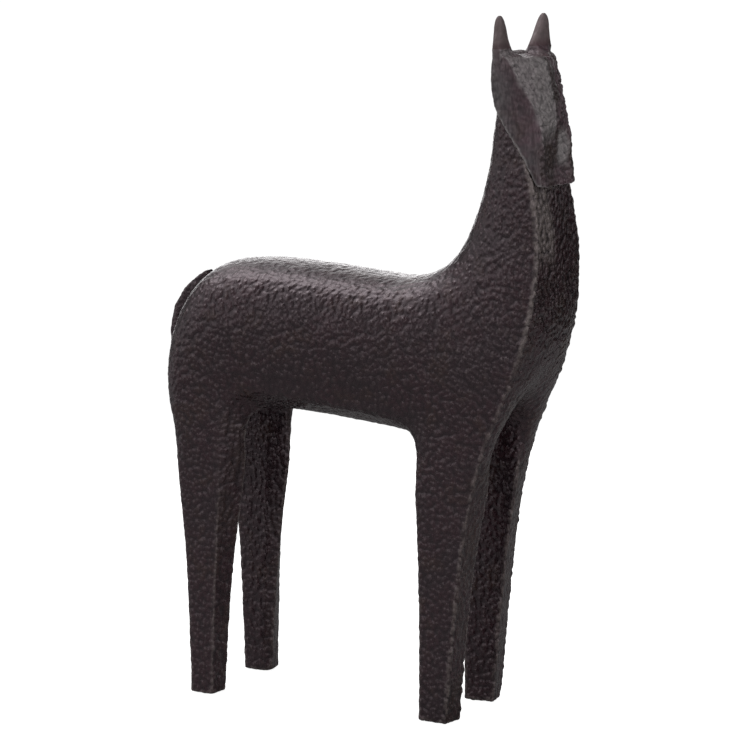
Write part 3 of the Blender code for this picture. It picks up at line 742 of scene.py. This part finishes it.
def head_painted_light(at, normals, arris):
    """Painted light: the forehead's right half, the cheek's rear and the ears lit lighter, and painted
    highlights on the jaw's edge and on a patch by the nose.
    """
    below, behind = below_crown(at), behind_nose(at)
    wander = HEAD_WANDER * layered_noise(at, size=8.0, salt=121)
    ahead = fade(normals[:, 0] + 0.12 * wander, 0.45, 0.75)
    # Painted light on the forehead's right half, the half the key light falls on.
    forehead = ahead * fade(at[:, 1] + wander, *FOREHEAD_RIGHT_OF)
    forehead *= fade(below + wander, *FOREHEAD_ABOVE)
    forehead *= fade(below, *FOREHEAD_BELOW)
    # Painted highlight on a patch by the nose.
    beside = fade(abs(at[:, 1] - NOSE_PATCH_LEFT + wander), *NOSE_PATCH_WITHIN)
    beside *= fade(abs(below - NOSE_PATCH_BELOW + wander), *NOSE_PATCH_HEIGHT)
    nose = fade(normals[:, 0], 0.2, 0.5) * beside
    # Painted light on the cheek's rear, where its curve catches light.
    rear = (1 - ahead) * fade(behind + wander, *CHEEK_BEHIND) * fade(below, *CHEEK_ABOVE)
    # Painted highlight along the jaw's edge.
    jaw = (1 - ahead) * arris * fade(below, *JAW_BELOW)
    # The ears painted lighter, as they are lit more.
    ears = fade(below, *PALE_EARS_ABOVE)
    return np.clip(PALE_FOREHEAD * forehead + nose + PALE_CHEEK * rear + jaw + ears, 0, 1)


def build_head(finish, ear_finish):
    """Head and ears as one skin with fillets between them, parted a little above the top of the head."""
    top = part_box("head")[1].z
    form = RoundedForm(["head"] + list(EARS))
    sources = [(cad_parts[node].data, STILL) for node in ("head",) + EARS]
    sources += [(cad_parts[ear].data, (0, 0, -drop)) for ear in EARS for drop in EARS_SUNK_BY]
    skin = rounded_skin("head_skin", sources, form, HEAD_VOXEL, softening=2)
    roots = fade(read_points(skin)[:, 2], *(top - below for below in FILLET_BELOW_TOP))
    fill_hollows(skin, FILLET_ROUNDS, roots)
    raise_relief(skin, head_relief, head_painted_light)
    level = top + EARS_PARTED_ABOVE

    def part_of(centre):
        if centre.z < level:
            return "head"
        return "ear_left" if centre.y > 0 else "ear_right"

    for node, mesh in parted(skin, [level], part_of).items():
        if node == "head":
            piece("head_casting", mesh, finish, "patinated_bronze", node)
        else:
            piece(node + "_casting", mesh, ear_finish, "smooth_bronze", node)


# --- Tail, core plugs and sole pads ----------------------------------------------------------------------


def build_tail(finish):
    form = RoundedForm(["tail"])
    sources = [(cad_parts["tail"].data, STILL)]
    skin = rounded_skin("tail_casting", sources, form, HEAD_VOXEL, softening=2)
    raise_relief(skin, body_relief)
    piece("tail_casting", skin, finish, "patinated_bronze", "tail")


def plug_relief(at, normals, arris):
    """The body's dabs on the underside alone, since the rest of a plug sits in the torso."""
    return fade(-normals[:, 2], 0.6, 0.95) * body_relief(at, normals, 0 * arris)


def build_plug(node, finish):
    form = RoundedForm([node])
    sources = [(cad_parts[node].data, STILL)]
    skin = rounded_skin(node + "_casting", sources, form, SMALL_VOXEL, softening=1)
    raise_relief(skin, plug_relief)
    piece(node + "_casting", skin, finish, "patinated_bronze", node)


def build_pad(node, cloth):
    """A felt pad with a softly rounded rim and a fibrous face."""
    skin = voxel_skin(node + "_felt", [(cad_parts[node].data, STILL)], SMALL_VOXEL)
    points = relaxed(read_points(skin), read_edges(skin), rounds=2)
    fuzz = PAD_FUZZ * soft_noise(points / MM, size=0.8, salt=111)
    points += vertex_normals(skin) * fuzz[:, None]
    low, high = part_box(node)
    points[:, 2] = np.clip(points[:, 2], low.z, high.z)
    write_points(skin, points)
    skin.shade_smooth()
    piece(node + "_felt", skin, cloth, "felt", node)


# --- Stage -----------------------------------------------------------------------------------------------


def build_stage():
    """A floor as white as the surround, with only a faint shadow at the feet."""
    bm = bmesh.new()
    bmesh.ops.create_circle(bm, cap_ends=True, segments=96, radius=FLOOR_RADIUS)
    mesh = bpy.data.meshes.new("floor")
    bm.to_mesh(mesh)
    bm.free()
    floor = bpy.data.objects.new("floor", mesh)
    bpy.context.scene.collection.objects.link(floor)
    n = Nodes("Pale floor")
    seen = n.add("LightPath").outputs["Is Camera Ray"]
    n.set(n.shader.inputs["Base Color"], n.mix(seen, FLOOR_FOR_LIGHT, FLOOR_SEEN))
    n.set(n.shader.inputs["Roughness"], 0.9)
    n.set(n.shader.inputs["Specular IOR Level"], 0.0)
    n.set(n.shader.inputs["Emission Color"], (1, 1, 1, 1))
    n.set(n.shader.inputs["Emission Strength"], n.math("MULTIPLY", seen, FLOOR_GLOW))
    mesh.materials.append(n.material)


def direction(azimuth, elevation):
    """Unit vector towards a place around the object. Azimuth 0 is the horse's right side, 90 its front."""
    a, e = math.radians(azimuth), math.radians(elevation)
    return Vector((math.sin(a) * math.cos(e), -math.cos(a) * math.cos(e), math.sin(e)))


def build_studio():
    """A white surround, which lights the object through soft lobes, as walls and softboxes of a studio do."""
    world = bpy.data.worlds.new("Studio")
    bpy.context.scene.world = world
    world.use_nodes = True
    tree = world.node_tree

    def add(kind, **settings):
        node = tree.nodes.new("ShaderNode" + kind)
        for key, value in settings.items():
            setattr(node, key, value)
        return node

    def calculate(operation, first, second=None):
        node = add("Math", operation=operation)
        for socket, value in zip(node.inputs, (first, second)):
            if isinstance(value, bpy.types.NodeSocket):
                tree.links.new(value, socket)
            elif value is not None:
                socket.default_value = value
        return node.outputs[0]

    seen_from = add("NewGeometry").outputs["Incoming"]
    total = 0.0
    for azimuth, elevation, tightness, strength in STUDIO.values():
        facing = add("VectorMath", operation="DOT_PRODUCT")
        tree.links.new(seen_from, facing.inputs[0])
        facing.inputs[1].default_value = -direction(azimuth, elevation)
        falloff = calculate("MULTIPLY", calculate("SUBTRACT", facing.outputs["Value"], 1.0), tightness)
        lobe = calculate("MULTIPLY", calculate("EXPONENT", falloff), strength)
        total = calculate("ADD", lobe, total)
    background = tree.nodes["Background"]
    tree.links.new(total, background.inputs["Strength"])
    white = add("Background")
    for shown in (background, white):
        shown.inputs["Color"].default_value = (1, 1, 1, 1)
    white.inputs["Strength"].default_value = SURROUND_SEEN
    switch = add("MixShader")
    tree.links.new(add("LightPath").outputs["Is Camera Ray"], switch.inputs[0])
    tree.links.new(background.outputs[0], switch.inputs[1])
    tree.links.new(white.outputs[0], switch.inputs[2])
    tree.links.new(switch.outputs[0], tree.nodes["World Output"].inputs["Surface"])


def build_camera():
    """The view of the reference: from the horse's right and ahead of it, a little above it."""
    back = direction(CAMERA_AZIMUTH, CAMERA_ELEVATION)
    data = bpy.data.cameras.new("Camera")
    data.lens = LENS_LENGTH
    data.sensor_width = SENSOR_WIDTH
    camera = bpy.data.objects.new("Camera", data)
    bpy.context.scene.collection.objects.link(camera)
    camera.location = CAMERA_TARGET + back * CAMERA_DISTANCE
    camera.rotation_mode = "QUATERNION"
    camera.rotation_quaternion = (-back).to_track_quat("-Z", "Y")
    bpy.context.scene.camera = camera


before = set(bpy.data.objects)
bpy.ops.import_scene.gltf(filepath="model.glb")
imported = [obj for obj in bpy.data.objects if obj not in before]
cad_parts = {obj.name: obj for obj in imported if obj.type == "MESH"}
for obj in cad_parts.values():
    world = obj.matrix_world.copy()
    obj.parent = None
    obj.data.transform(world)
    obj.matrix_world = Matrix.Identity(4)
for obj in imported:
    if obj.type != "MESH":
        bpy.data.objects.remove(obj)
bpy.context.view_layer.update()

bronze = patinated_bronze("Patinated bronze", **BODY_PATINA_AND_PAINTED_LIGHT)
# The head's and ears' bronzes are painted lighter than the body's, as they are lit more; the head's front
# color is painted shade.
head_bronze_with_painted_light = patinated_bronze("Head bronze with painted light", **HEAD_PATINA_AND_PAINTED_LIGHT, roughness=(0.45, 0.3), grain=0.6)
ear_bronze_with_painted_light = patinated_bronze("Smooth ear bronze with painted light", **EAR_PATINA_AND_PAINTED_LIGHT, roughness=(0.55, 0.45), grain=0.3)
rod_bronze = plain_metal("Pin bronze", ROD_COLOR, ROD_ROUGHNESS)
felt = felt_cloth("Black felt")

build_body(bronze)
build_head(head_bronze_with_painted_light, ear_bronze_with_painted_light)
build_tail(bronze)
for node in PLUGS:
    build_plug(node, bronze)
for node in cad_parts:
    if node.startswith("sole_pad"):
        build_pad(node, felt)
    elif "_pin" in node:
        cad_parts[node].data.materials.clear()
        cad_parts[node].data.materials.append(rod_bronze)

build_stage()
build_studio()
build_camera()
bpy.context.scene.view_settings.view_transform = "Standard"
